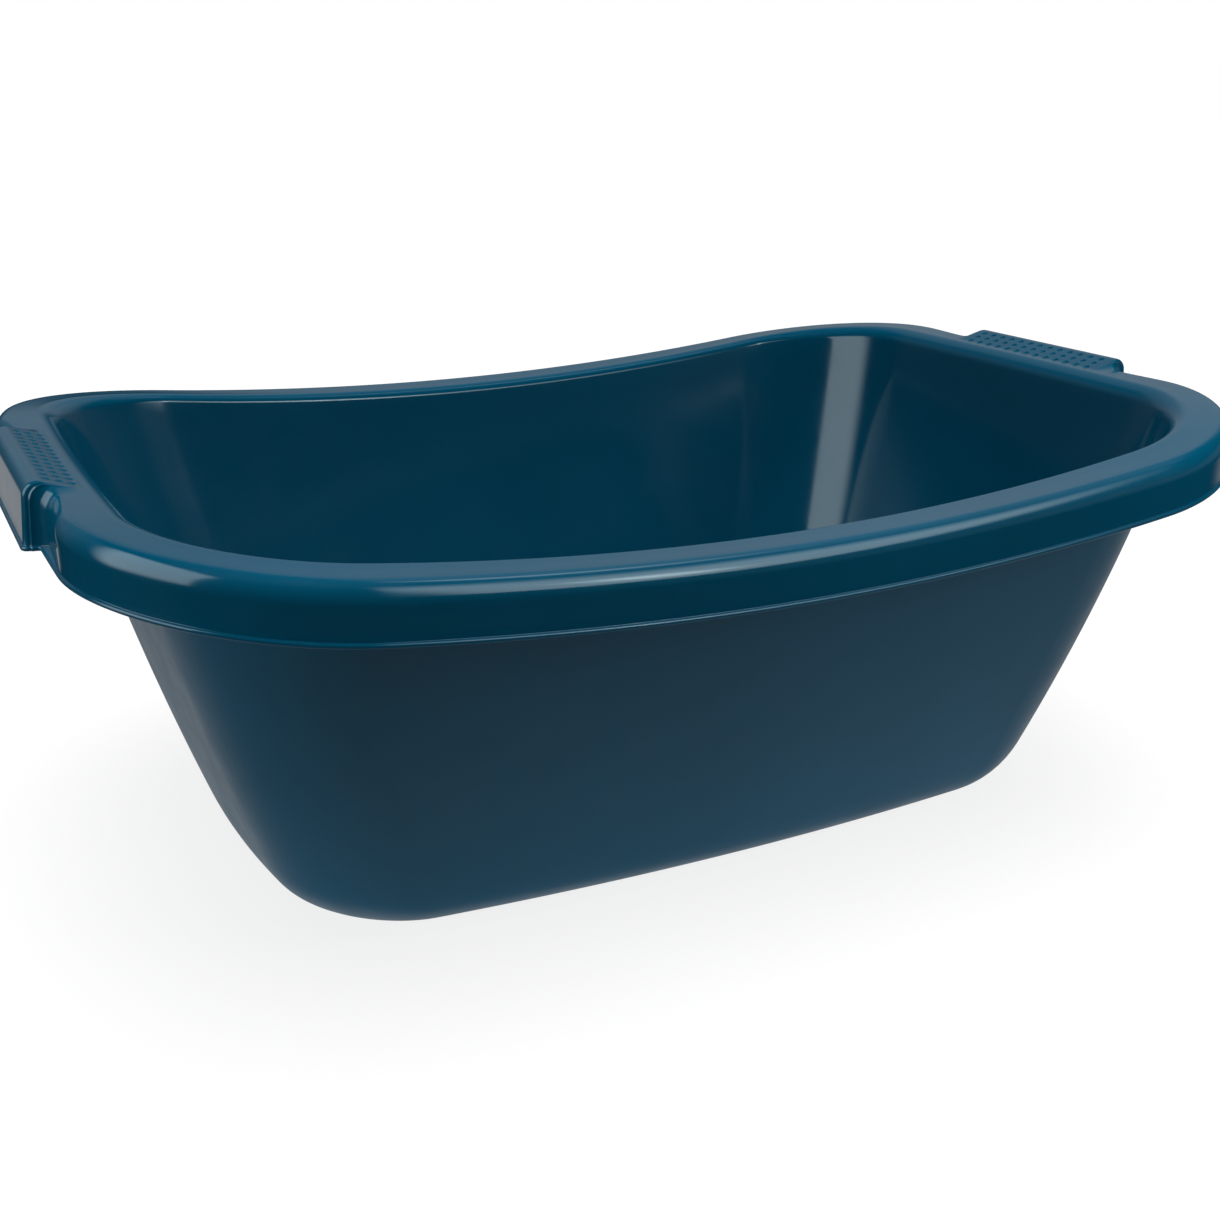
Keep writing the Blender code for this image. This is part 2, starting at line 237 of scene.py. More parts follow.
def all_stations():
    """Stations once round, anticlockwise, as (share X, share Y, normal X, normal Y)."""
    gap_share = HANDLE_END / straight_half()
    quarter = [(1.0, gap_share * i / GAP_STEPS, 1.0, 0.0) for i in range(GAP_STEPS)]
    for i in range(END_STEPS):
        quarter.append((1.0, gap_share + (1.0 - gap_share) * i / END_STEPS, 1.0, 0.0))
    for i in range(CORNER_STEPS):
        angle = pi / 2 * i / CORNER_STEPS
        quarter.append((1.0, 1.0, cos(angle), sin(angle)))
    quarter += [(1.0 - i / SIDE_STEPS, 1.0, 0.0, 1.0) for i in range(SIDE_STEPS + 1)]
    mirrored = [(-sx, sy, -nx, ny) for sx, sy, nx, ny in reversed(quarter[:-1])]
    half = quarter + mirrored[:-1]
    return half + [(-sx, -sy, -nx, -ny) for sx, sy, nx, ny in half]


STATIONS = all_stations()


def rim_level(along):
    """Height of the mouth's edge: highest at the ends, lowest halfway along the sides."""
    return RIM_HEIGHT - RIM_DIP * (1.0 - along * along)


# Mesh helpers

def new_piece(name, points, faces, node):
    """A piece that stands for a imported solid: smooth, with its real edges kept sharp."""
    mesh = bpy.data.meshes.new(name)
    mesh.from_pydata(points, [], faces)
    bm = bmesh.new()
    bm.from_mesh(mesh)
    loose = [vert for vert in bm.verts if not vert.link_faces]
    bmesh.ops.delete(bm, geom=loose, context="VERTS")
    bmesh.ops.recalc_face_normals(bm, faces=bm.faces)
    bm.to_mesh(mesh)
    bm.free()
    mesh.shade_smooth()
    mesh.set_sharp_from_angle(angle=CREASE_ANGLE)
    piece = bpy.data.objects.new(name, mesh)
    bpy.context.scene.collection.objects.link(piece)
    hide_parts(node)
    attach(piece, "root")
    return piece


def quad(count, low, high, i, j):
    """The face between points i and j of two rings that have this count of points each."""
    return low * count + i, low * count + j, high * count + j, high * count + i


def loft_faces(rings):
    """Quads between rings of equal length, and one face over the first ring and over the last."""
    count = len(rings[0])
    last = len(rings) - 1
    faces = []
    for low in range(last):
        faces += [quad(count, low, low + 1, i, (i + 1) % count) for i in range(count)]
    faces.append(tuple(range(count)))
    faces.append(tuple(last * count + i for i in range(count)))
    return faces


# Tub

def wall_point(station, inset, share):
    """A point of the wall, a share of the way up from the base, inset from the outer face."""
    base_x, base_y, _ = BASES[inset].point(station, 0.0)
    top_x, top_y, along = MOUTH.point(station, WALL - inset)
    run_x = top_x - base_x
    run_y = top_y - base_y
    run = (run_x * run_x + run_y * run_y) ** 0.5
    bulge = WALL_BULGE * 4.0 * share * (1.0 - share) / run
    height = inset + (rim_level(along) - inset) * share
    return base_x + run_x * (share + bulge), base_y + run_y * (share + bulge), height


def share_at_drop(station, inset, drop):
    """The share of the wall's height that lies this far under the rim's level."""
    level = rim_level(MOUTH.point(station, WALL - inset)[2])
    return (level - drop - inset) / (level - inset)


def wall_lean(station):
    """The angle by which the wall's inner face leans outwards, over the rim's collar."""
    low = wall_across(station, RIM_BEND + RIM_COLLAR)
    high = wall_across(station, RIM_BEND)
    return atan2(high - low, RIM_COLLAR)


def wall_across(station, drop):
    """How far out of the mouth's edge the wall's inner face is, at this drop under the rim."""
    x, y, _ = wall_point(station, WALL, share_at_drop(station, WALL, drop))
    mouth_x, mouth_y, _ = MOUTH.point(station, 0.0)
    return (x - mouth_x) * station[2] + (y - mouth_y) * station[3]


def edge_point(station, inset, turn_share, wall_share):
    """A point of the rounded edge between the floor, at 0, and the wall, at 1."""
    wall = wall_point(station, inset, wall_share)
    corner_x, corner_y, _ = BASES[inset].point(station, 0.0)
    floor_x, floor_y, _ = BASES[BASE_EDGE_RUN].point(station, 0.0)
    to_floor = (1.0 - turn_share) ** 2
    to_corner = 2.0 * turn_share * (1.0 - turn_share)
    to_wall = turn_share ** 2
    x = to_floor * floor_x + to_corner * corner_x + to_wall * wall[0]
    y = to_floor * floor_y + to_corner * corner_y + to_wall * wall[1]
    return x, y, inset + (wall[2] - inset) * to_wall


def disc_ring(radius, height):
    """A ring round the middle of the floor, in step with the stations."""
    ring = []
    for station in STATIONS:
        x, y, _ = BASES[BASE_EDGE_RUN].point(station, 0.0)
        angle = atan2(y, x)
        ring.append((radius * cos(angle), radius * sin(angle), height))
    return ring


def floor_rings(inset, middle):
    """Rings of the flat floor, from the middle disc outwards, without the last."""
    outer = [edge_point(station, inset, 0.0, 0.0) for station in STATIONS]
    rings = []
    for i in range(FLOOR_STEPS):
        share = i / FLOOR_STEPS
        rings.append([between(low, high, share) for low, high in zip(middle, outer)])
    return rings


def tub_face(inset):
    """Rings of one face of the tub, from the floor's rounded edge to the foot of the rim."""
    wall_share = BASE_EDGE_RUN / RIM_HEIGHT
    rings = []
    for i in range(EDGE_STEPS):
        turn_share = i / EDGE_STEPS
        rings.append([edge_point(station, inset, turn_share, wall_share) for station in STATIONS])
    for i in range(WALL_STEPS + 1):
        ring = []
        for station in STATIONS:
            top_share = share_at_drop(station, inset, RIM_BEND + RIM_COLLAR)
            share = wall_share + (top_share - wall_share) * i / WALL_STEPS
            ring.append(wall_point(station, inset, share))
        rings.append(ring)
    return rings


def make_tub():
    """The tub with its gate mark, and the count of its first faces, which are on the outside."""
    rings = [disc_ring(radius, height) for radius, height in GATE_MARK]
    rings += floor_rings(0.0, disc_ring(UNDERSIDE_START, 0.0)) + tub_face(0.0)
    outer_faces = (len(rings) - 1) * len(STATIONS)
    inside = floor_rings(WALL, disc_ring(FLOOR_MIDDLE, WALL)) + tub_face(WALL)
    rings += reversed(inside)
    points = [point for ring in rings for point in ring]
    return new_piece("tub", points, loft_faces(rings), "tub_shell"), outer_faces


# Rim

def pinched(offset, station):
    """The offset drawn in near the handles, where the rim is narrower above its lip."""
    y = abs(MOUTH.point(station, offset)[1])
    near = 1.0 - smooth_share((y - HANDLE_END) / PINCH_REACH)
    beyond_bend = max(offset - RIM_BEND, 0.0) / (RIM_WIDTH - RIM_BEND)
    return offset - RIM_PINCH * near * beyond_bend * abs(station[2])


def rim_point(station, offset, height):
    """A point of the rim: an offset outwards from the mouth, and a height over the rim's level."""
    x, y, along = MOUTH.point(station, offset)
    return x, y, rim_level(along) + height


def split_offset(station):
    """Offset of the line where the handle starts, carried on round the rest of the rim."""
    y = min(abs(MOUTH.point(station, RIM_BEND)[1]), HANDLE_END)
    across = y / (MOUTH.half_width + RIM_BEND)
    if station[2] * station[2] < 1.0:
        across = HANDLE_END / (MOUTH.half_width + RIM_BEND)
    return HANDLE_START / (1.0 - MOUTH.end_bow_share * across * across) - MOUTH.half_length


def roll_arc(depth):
    """The roll at a depth under its upper face, outwards and down: a tight arc, then a wide one."""
    wider = ROLL_RADIUS - CROWN_RADIUS
    across = RIM_WIDTH - ROLL_RADIUS
    crown_centre = (across + wider * sin(CROWN_TURN), RIM_CROWN - CROWN_RADIUS)
    roll_centre = (across, crown_centre[1] - wider * cos(CROWN_TURN))
    joint = pi / 2 - CROWN_TURN
    crown = arc(crown_centre, CROWN_RADIUS - depth, pi / 2, joint, CROWN_STEPS)
    return crown[:-1] + arc(roll_centre, ROLL_RADIUS - depth, joint, 0.0, ROLL_STEPS)


def skirt_end(depth):
    """Height of the skirt's foot, over the lip's fillet outside and over its round inside."""
    if depth == 0.0:
        return -SKIRT_DROP + LIP_FILLET
    return -SKIRT_DROP - depth + LIP_ROUND


def rim_core(station, depth, band_steps):
    """One face of the rim from the handles' starting line over the roll and down the skirt."""
    roll = roll_arc(depth)
    line = spread((split_offset(station), -depth), roll[0], band_steps) + roll[:-1]
    line += spread(roll[-1], (RIM_WIDTH - depth, skirt_end(depth)), SKIRT_STEPS)
    line.append((RIM_WIDTH - depth, skirt_end(depth)))
    return [rim_point(station, pinched(offset, station), height) for offset, height in line]


def lip_points(inner, outer, tip, level):
    """The lip's rounded section, from the feet of the skirt's faces and the lip's tip."""
    reach = ((tip[0] - outer[0]) ** 2 + (tip[1] - outer[1]) ** 2) ** 0.5
    edge = reach - LIP_ROUND
    low = LIP_ROUND - WALL
    profile = arc((LIP_FILLET, LIP_FILLET), LIP_FILLET, pi, 1.5 * pi, LIP_STEPS)[1:]
    profile += arc((edge, -LIP_ROUND), LIP_ROUND, pi / 2, 0.0, LIP_STEPS)
    profile += arc((edge, low), LIP_ROUND, 0.0, -pi / 2, LIP_STEPS)
    profile += arc((low, low), LIP_ROUND, -pi / 2, -pi, LIP_STEPS)[:-1]
    points = []
    for run, rise in profile:
        if run < 0.0:
            x, y = between(outer[:2], inner[:2], -run / WALL)
        else:
            x, y = between(outer[:2], tip[:2], run / reach)
        points.append((x, y, level + rise))
    return points


def rim_section(station):
    """The rim's closed section, and the two places in it on the handle's starting line."""
    lean = wall_lean(station)
    radius = SIDE_BEND + (END_BEND - SIDE_BEND) * smooth_share(abs(station[2]))
    drop = radius * (1.0 - sin(lean))
    bend = (wall_across(station, drop) + radius * cos(lean), -radius)
    upper_bend = arc(bend, radius, pi - lean, pi / 2, BEND_STEPS)
    lower_bend = arc(bend, radius - WALL, pi / 2, pi - lean, BEND_STEPS)
    feet = [
        wall_point(station, inset, share_at_drop(station, inset, RIM_BEND + RIM_COLLAR))
        for inset in (WALL, 0.0)
    ]
    start = [feet[0]] + [rim_point(station, offset, height) for offset, height in upper_bend]
    end = [rim_point(station, offset, height) for offset, height in lower_bend] + [feet[1]]
    upper = rim_core(station, 0.0, BAND_STEPS)
    under = rim_core(station, WALL, BAND_STEPS)
    outer_foot = rim_point(station, pinched(RIM_WIDTH, station), -SKIRT_DROP)
    inner_foot = rim_point(station, pinched(RIM_WIDTH - WALL, station), -SKIRT_DROP)
    tip = rim_point(station, RIM_WIDTH + LIP_OUT, -SKIRT_DROP)
    lip = lip_points(inner_foot, outer_foot, tip, outer_foot[2])
    middle = upper + lip + list(reversed(under))
    return start + middle + end, len(start), len(start) + len(middle) - 1


def in_gap(station):
    """True on the stretch of the rim that a handle takes the place of, its two ends included."""
    near = abs(MOUTH.point(station, 0.0)[1]) < HANDLE_END + SAME_PLACE
    return abs(station[2]) == 1.0 and near


def make_rim():
    """The rim in one ring, with only its inner bend where the handles take its place."""
    sections = [rim_section(station) for station in STATIONS]
    first, last = sections[0][1:]
    rings = [section[0] for section in sections]
    count = len(rings[0])
    whole = [(i, (i + 1) % count) for i in range(count)]
    bend_only = [(i, j) for i, j in whole if i < first or i >= last] + [(first, last)]
    faces = []
    for low in range(len(STATIONS)):
        high = (low + 1) % len(STATIONS)
        low_in_gap = in_gap(STATIONS[low])
        high_in_gap = in_gap(STATIONS[high])
        spans = bend_only if low_in_gap and high_in_gap else whole
        faces += [quad(count, low, high, i, j) for i, j in spans]
        if low_in_gap != high_in_gap:
            row = low if low_in_gap else high
            faces.append(tuple(row * count + i for i in range(first, last + 1)))
    points = [point for ring in rings for point in ring]
    return new_piece("rim", points, faces, "rolled_rim")


# Handles

def grip_top():
    """The block's top: the corner it rises from, its slope, the face's lean, and its length."""
    start = HANDLE_START + GRIP_FILLET
    slope = atan2(HANDLE_RISE, HANDLE_FOOT - HANDLE_LEAN - start)
    lean = atan2(HANDLE_LEAN, SKIRT_DROP + HANDLE_RISE)
    tangent = HANDLE_ROUND * tan((pi / 2 + slope - lean) / 2)
    length = (HANDLE_FOOT - HANDLE_LEAN - start) / cos(slope) - tangent
    return (start, RIM_HEIGHT), slope, lean, length


def grip_line(depth, band_steps):
    """The block's section at a depth under its outer face, as (x, z): top, round and outer face."""
    (x, z), slope, lean, length = grip_top()
    turn_x = x + length * cos(slope)
    turn_z = z + length * sin(slope)
    centre = (turn_x + HANDLE_ROUND * sin(slope), turn_z - HANDLE_ROUND * cos(slope))
    turn = arc(centre, HANDLE_ROUND - depth, pi / 2 + slope, lean, CROWN_STEPS + ROLL_STEPS)
    rise = between((x, z - depth), turn[0], GRIP_FILLET / length)
    fillet_steps = band_steps // BAND_STEPS_TO_FILLET_STEP + LEAST_FILLET_STEPS
    line = []
    for i in range(fillet_steps):
        share = i / fillet_steps
        flat = between((HANDLE_START, z - depth), (x, z - depth), share)
        line.append(between(flat, between((x, z - depth), rise, share), share))
    line += spread(rise, turn[0], band_steps - fillet_steps) + turn[:-1]
    fall = RIM_HEIGHT + skirt_end(depth)
    foot_x = HANDLE_FOOT - depth - tan(lean) * (fall - SKIRT_FOOT_HEIGHT + depth)
    line += spread(turn[-1], (foot_x, fall), SKIRT_STEPS)
    line.append((foot_x, fall))
    return line


def grip_steps(depth):
    """Steps from the end inwards: (y, share from rim line to block line, turn of the face)."""
    step = HANDLE_FOOT - NARROW_FOOT
    face = HANDLE_HALF_LENGTH - depth
    edge = HANDLE_EDGE_INSIDE + WALL - depth
    steps = []
    for i in range(COVE_STEPS + 1):
        angle = pi / 2 * i / COVE_STEPS
        y = face + HANDLE_END_DRAFT + (HANDLE_COVE + depth) * (1.0 - sin(angle))
        steps.append((y, (COVE_DEPTH_SHARE + depth / step) * (1.0 - cos(angle)), angle))
    for i in range(COVE_STEPS + 1):
        angle = pi / 2 * (1.0 - i / COVE_STEPS)
        y = face - edge * (1.0 - sin(angle))
        steps.append((y, 1.0 - edge / step * (1.0 - cos(angle)), angle))
    return steps


def dimple_depth(out, y):
    """How far the grip's top is pressed in at this distance out from its start and along Y."""
    column = round((out - DIMPLE_FIRST) / DIMPLE_PITCH_ACROSS)
    row = round(y / DIMPLE_PITCH_ALONG)
    if not 0 <= column < DIMPLE_COLUMNS or abs(row) > DIMPLE_ROWS // 2:
        return 0.0
    across = (out - DIMPLE_FIRST - column * DIMPLE_PITCH_ACROSS) / (DIMPLE_WIDTH / 2)
    along = (y - row * DIMPLE_PITCH_ALONG) / (DIMPLE_LENGTH / 2)
    distance = (across * across + along * along) ** 0.5
    return DIMPLE_DEPTH * smooth_share(DIMPLE_STEEPNESS * (1.0 - distance))


def grip_face(side, depth, step):
    """A row of points on the face at this depth, on the handle's half at -1 or 1 along Y."""
    y, share, _ = step
    band_steps = GRIP_BAND_STEPS if depth == 0.0 else GRIP_INNER_STEPS
    (start, _), slope, _, _ = grip_top()
    rim_line = rim_core(end_station(y), depth, band_steps)
    row = []
    for low, high in zip(rim_line, grip_line(depth, band_steps)):
        x = low[0] + (high[0] - low[0]) * share
        z = low[2] + (high[1] - low[2]) * share
        if depth == 0.0 and share == 1.0:
            pressed = dimple_depth((x - start) / cos(slope) + GRIP_FILLET, y)
            x += pressed * sin(slope)
            z -= pressed * cos(slope)
        row.append((x, side * y, z))
    return row


def grip_foot(side, depth, step):
    """Where the face at this depth meets the level of the lip, as (x, y)."""
    y, share, _ = step
    station = end_station(y)
    low = rim_point(station, pinched(RIM_WIDTH - depth, station), -SKIRT_DROP)[0]
    return low + (HANDLE_FOOT - depth - low) * share, side * y


def grip_ring(side, outer, inner):
    """A closed ring round the handle's wall: outer face, the lip at its foot, inner face."""
    outer_foot = grip_foot(side, 0.0, outer)
    inner_foot = grip_foot(side, WALL, inner)
    rim_tip_x = rim_point(end_station(outer[0]), RIM_WIDTH + LIP_OUT, -SKIRT_DROP)[0]
    tip_x = max(outer_foot[0] + LIP_OUT * cos(outer[2]), rim_tip_x)
    tip = (tip_x, outer_foot[1] + side * LIP_OUT * sin(outer[2]))
    lip = lip_points(inner_foot, outer_foot, tip, SKIRT_FOOT_HEIGHT)
    return grip_face(side, 0.0, outer) + lip + list(reversed(grip_face(side, WALL, inner)))


def make_grip(name, node, end):
    """The handle at the +X end for 1, or the -X end for -1: one lofted wall with its dimples."""
    pairs = list(zip(grip_steps(0.0), grip_steps(WALL)))
    rings = [grip_ring(-1.0, outer, inner) for outer, inner in pairs]
    for i in range(DIMPLE_ROWS * DIMPLE_STEPS + 1):
        y = DIMPLE_PITCH_ALONG * (i / DIMPLE_STEPS - DIMPLE_ROWS / 2)
        rings.append(grip_ring(1.0, (y, 1.0, 0.0), (y, 1.0, 0.0)))
    rings += [grip_ring(1.0, outer, inner) for outer, inner in reversed(pairs)]
    points = [(end * x, end * y, z) for ring in rings for x, y, z in ring]
    return new_piece(name, points, loft_faces(rings), node)


# Shader nodes

def node_tree(material):
    material.use_nodes = True
    tree = material.node_tree
    return tree, tree.nodes["Principled BSDF"]


def node_noise(tree, place, scale, detail):
    node = tree.nodes.new("ShaderNodeTexNoise")
    node.inputs["Scale"].default_value = scale
    node.inputs["Detail"].default_value = detail
    tree.links.new(place, node.inputs["Vector"])
    return node.outputs["Fac"]


def node_bump(tree, height, depth):
    """A bump node of this depth in metres."""
    node = tree.nodes.new("ShaderNodeBump")
    node.inputs["Strength"].default_value = 1.0
    node.inputs["Distance"].default_value = depth
    tree.links.new(height, node.inputs["Height"])
    return node


def node_range(tree, value, low, high, first, last, turn="SMOOTHSTEP"):
    """A turn from first to last while the value goes from low to high."""
    node = tree.nodes.new("ShaderNodeMapRange")
    node.interpolation_type = turn
    numbers = {"From Min": low, "From Max": high, "To Min": first, "To Max": last}
    for name, number in numbers.items():
        node.inputs[name].default_value = number
    tree.links.new(value, node.inputs["Value"])
    return node.outputs["Result"]


def node_math(tree, operation, first, second):
    """The outcome of an operation on two sockets, or on a socket and a plain number."""
    node = tree.nodes.new("ShaderNodeMath")
    node.operation = operation
    for socket, value in zip(node.inputs, (first, second)):
        if isinstance(value, float):
            socket.default_value = value
        else:
            tree.links.new(value, socket)
    return node.outputs["Value"]


def node_mix(tree, share, first, last):
    """First where the share is 0 and last where it is 1; last is a plain number."""
    unchosen = node_math(tree, "MULTIPLY", first, node_math(tree, "SUBTRACT", 1.0, share))
    return node_math(tree, "ADD", unchosen, node_math(tree, "MULTIPLY", share, last))


# Plastic

BASE_COLOUR = (0.0005, 0.062, 0.118)
PLASTIC_IOR = 1.49

# Noises over the plastic: features to a metre, and detail
PIGMENT_NOISE = (9.0, 3.0)
GLOSS_NOISE = (60.0, 4.0)
WAVE_NOISE = (14.0, 1.0)
GRAIN_DETAIL = 2.0

# Where a noise counts as low and as high, and the pigment's shade at the two
NOISE_LOW = 0.3
NOISE_HIGH = 0.7
PIGMENT_DARK = 0.94
PIGMENT_LIGHT = 1.05

# The smooth faces inside and on the rim, and the duller outer face of the tub
GLOSS_FINISH = {
    "low_roughness": 0.10,
    "high_roughness": 0.14,
    "grain_size": 0.0008,
    "grain_depth": 0.0000015,
    "wave_depth": 0.00006,
}
SATIN_FINISH = {
    "low_roughness": 0.28,
    "high_roughness": 0.34,
    "grain_size": 0.0006,
    "grain_depth": 0.000012,
    "wave_depth": 0.0,
}


def plastic(name, low_roughness, high_roughness, grain_size, grain_depth, wave_depth):
    """Moulded plastic: a faint drift of pigment and gloss, a fine grain and slow waves."""
    material = bpy.data.materials.new(name)
    tree, shader = node_tree(material)
    place = tree.nodes.new("ShaderNodeTexCoord").outputs["Object"]

    ramp = tree.nodes.new("ShaderNodeValToRGB")
    stops = ((NOISE_LOW, PIGMENT_DARK), (NOISE_HIGH, PIGMENT_LIGHT))
    for element, (position, shade) in zip(ramp.color_ramp.elements, stops):
        element.position = position
        element.color = [channel * shade for channel in BASE_COLOUR] + [1.0]
    tree.links.new(node_noise(tree, place, *PIGMENT_NOISE), ramp.inputs["Fac"])
    tree.links.new(ramp.outputs["Color"], shader.inputs["Base Color"])

    gloss = node_noise(tree, place, *GLOSS_NOISE)
    roughness = (low_roughness, high_roughness)
    roughness = node_range(tree, gloss, NOISE_LOW, NOISE_HIGH, *roughness, turn="LINEAR")
    tree.links.new(roughness, shader.inputs["Roughness"])

    grain = node_bump(tree, node_noise(tree, place, 1.0 / grain_size, GRAIN_DETAIL), grain_depth)
    wave = node_bump(tree, node_noise(tree, place, *WAVE_NOISE), wave_depth)
    tree.links.new(grain.outputs["Normal"], wave.inputs["Normal"])
    tree.links.new(wave.outputs["Normal"], shader.inputs["Normal"])

    shader.inputs["IOR"].default_value = PLASTIC_IOR
    return material


def paint(piece, *materials):
    piece.data.materials.clear()
    for material in materials:
        piece.data.materials.append(material)


# Floor: white to the camera, dim to the basin, and lighter in an oval round the basin's foot

FLOOR_RADIUS = 8.0
FLOOR_SEGMENTS = 64
FLOOR_GREY = 0.15
FLOOR_GLOW = 0.84
FLOOR_ROUGHNESS = 0.9
FOOT_GLOW = 1.05
FOOT_GLOW_SPAN = (0.48, 0.42)
FOOT_GLOW_FADE = 0.5


def make_floor():
    mesh = bpy.data.meshes.new("floor")
    bm = bmesh.new()
    bmesh.ops.create_circle(bm, cap_ends=True, segments=FLOOR_SEGMENTS, radius=FLOOR_RADIUS)
    bm.to_mesh(mesh)
    bm.free()
    floor = bpy.data.objects.new("floor", mesh)
    bpy.context.scene.collection.objects.link(floor)
    floor.visible_glossy = False

    material = bpy.data.materials.new("pale_floor")
    tree, shader = node_tree(material)
    place = tree.nodes.new("ShaderNodeTexCoord")
    oval = tree.nodes.new("ShaderNodeMapping")
    oval.inputs["Scale"].default_value = [1.0 / span for span in FOOT_GLOW_SPAN] + [0.0]
    tree.links.new(place.outputs["Object"], oval.inputs["Vector"])
    distance = tree.nodes.new("ShaderNodeVectorMath")
    distance.operation = "LENGTH"
    tree.links.new(oval.outputs["Vector"], distance.inputs[0])
    glow = node_range(tree, distance.outputs["Value"], FOOT_GLOW_FADE, 1.0, FOOT_GLOW, 0.0)
    path = tree.nodes.new("ShaderNodeLightPath")
    strength = node_mix(tree, path.outputs["Is Camera Ray"], glow, FLOOR_GLOW)
    tree.links.new(strength, shader.inputs["Emission Strength"])
    shader.inputs["Emission Color"].default_value = (1.0, 1.0, 1.0, 1.0)
    shader.inputs["Base Color"].default_value = (FLOOR_GREY, FLOOR_GREY, FLOOR_GREY, 1.0)
    shader.inputs["Roughness"].default_value = FLOOR_ROUGHNESS
    shader.inputs["Specular IOR Level"].default_value = 0.0
    paint(floor, material)


# The studio in the basin's reflections. A glow is its strength and its fades. A fade is an axis of
# the reflected direction, where on it the fade starts and ends, and the share before and after.

TABLE_EDGE = ("Z", -0.5, -0.3, 1.0, 0.0)
TABLE_GLOWS = (
    (0.10, TABLE_EDGE),
    (0.18, TABLE_EDGE, ("Y", 0.35, 0.75, 0.0, 1.0)),
    (0.14, TABLE_EDGE, ("X", 0.2, 0.8, 0.0, 1.0)),
)
BEHIND_GLOW = (
    0.36,
    ("X", -0.28, -0.17, 0.0, 1.0),
    ("Y", 0.0, 0.35, 0.0, 1.0),
    ("Z", -0.2, -0.1, 1.0, 0.0),
)
BACKDROP_GLOW = (
    0.23,
    ("X", -0.26, -0.04, 0.0, 1.0),
    ("Y", 0.2, 0.6, 0.0, 1.0),
    ("Z", 0.0, 0.22, 0.0, 1.0),
    ("Z", 0.66, 0.85, 1.0, 0.1),
)
RIGHT_BACKDROP_GLOW = (
    0.12,
    ("X", 0.42, 0.62, 0.0, 1.0),
    ("Y", 0.3, 0.5, 0.0, 1.0),
    ("Z", 0.1, 0.4, 0.0, 1.0),
    ("Z", 0.7, 0.82, 1.0, 0.0),
)
LEFT_BACKDROP_GLOW = (
    0.12,
    ("X", -0.8, -0.5, 0.0, 1.0),
    ("X", -0.2, 0.0, 1.0, 0.0),
    ("Y", 0.4, 0.6, 0.0, 1.0),
    ("Z", -0.2, -0.04, 0.0, 1.0),
    ("Z", 0.0, 0.16, 0.4, 1.0),
    ("Z", 0.45, 0.7, 1.0, 0.0),
)
CEILING_GLOW = (
    0.26,
    ("X", 0.28, 0.44, 0.0, 1.0),
    ("Y", -0.2, 0.0, 0.0, 1.0),
    ("Z", 0.64, 0.78, 0.0, 1.0),
    ("Z", 0.86, 0.93, 1.0, 0.0),
)
HORIZON_GLOW = (
    0.10,
    ("X", 0.3, 0.6, 0.0, 1.0),
    ("Z", -0.12, -0.02, 0.0, 1.0),
    ("Z", 0.12, 0.25, 1.0, 0.0),
)
HIGH_GLOWS = (BACKDROP_GLOW, RIGHT_BACKDROP_GLOW, LEFT_BACKDROP_GLOW, CEILING_GLOW, HORIZON_GLOW)
ROOM_GLOW = 0.004


def make_world():
    """White behind the basin, and in its reflections the glows in a nearly dark room."""
    world = bpy.data.worlds.new("studio")
    bpy.context.scene.world = world
    world.use_nodes = True
    tree = world.node_tree
    place = tree.nodes.new("ShaderNodeTexCoord")
    direction = tree.nodes.new("ShaderNodeSeparateXYZ")
    tree.links.new(place.outputs["Generated"], direction.inputs["Vector"])

    def faded(strength, *fades):
        for axis, start, end, before, after in fades:
            share = node_range(tree, direction.outputs[axis], start, end, before, after)
            strength = node_math(tree, "MULTIPLY", share, strength)
        return strength

    def total(glows, strength):
        for glow in glows:
            strength = node_math(tree, "ADD", faded(*glow), strength)
        return strength

    low = node_math(tree, "MAXIMUM", total(TABLE_GLOWS, 0.0), faded(*BEHIND_GLOW))
    reflected = node_math(tree, "ADD", low, total(HIGH_GLOWS, ROOM_GLOW))
    path = tree.nodes.new("ShaderNodeLightPath")
    strength = node_mix(tree, path.outputs["Is Camera Ray"], reflected, 1.0)
    back = tree.nodes["Background"]
    back.inputs["Color"].default_value = (1.0, 1.0, 1.0, 1.0)
    tree.links.new(strength, back.inputs["Strength"])


# Lights and camera

def put(thing, place, forward, level, roll):
    """Places a light or camera that looks forward, and rolls it from its level direction."""
    upward = level.cross(forward)
    right = level * cos(roll) + upward * sin(roll)
    up = upward * cos(roll) - level * sin(roll)
    turned = Matrix((right, up, -forward)).transposed().to_4x4()
    thing.matrix_world = Matrix.Translation(place) @ turned


# Power of a rectangular light, over its area, at a strength of 1
AREA_POWER = 4.0

# The boxes' light is a little blue
BOX_COLOUR = (0.8, 0.96, 1.0)

# Degrees over which a light shines, without a grid in front of it
WHOLE_SPREAD = 180.0

# A broad soft light straight down
SKY_ANGLE = 60.0
SKY_STRENGTH = 4.3


def make_light(name, kind):
    light = bpy.data.objects.new(name, bpy.data.lights.new(name, kind))
    bpy.context.scene.collection.objects.link(light)
    return light


def area_light(name, place, facing, roll, size, strength):
    """A rectangular light. Its facing, azimuth and slope down, and its roll are in degrees."""
    light = make_light(name, "AREA")
    light.data.shape = "RECTANGLE"
    light.data.size, light.data.size_y = size
    light.data.energy = strength * AREA_POWER * size[0] * size[1]
    light.visible_camera = False
    azimuth, down = (radians(angle) for angle in facing)
    normal = Vector((-sin(azimuth) * cos(down), -cos(azimuth) * cos(down), -sin(down)))
    level = normal.cross(Vector((0.0, 0.0, 1.0))).normalized()
    put(light, place, normal, level, radians(roll))
    return light


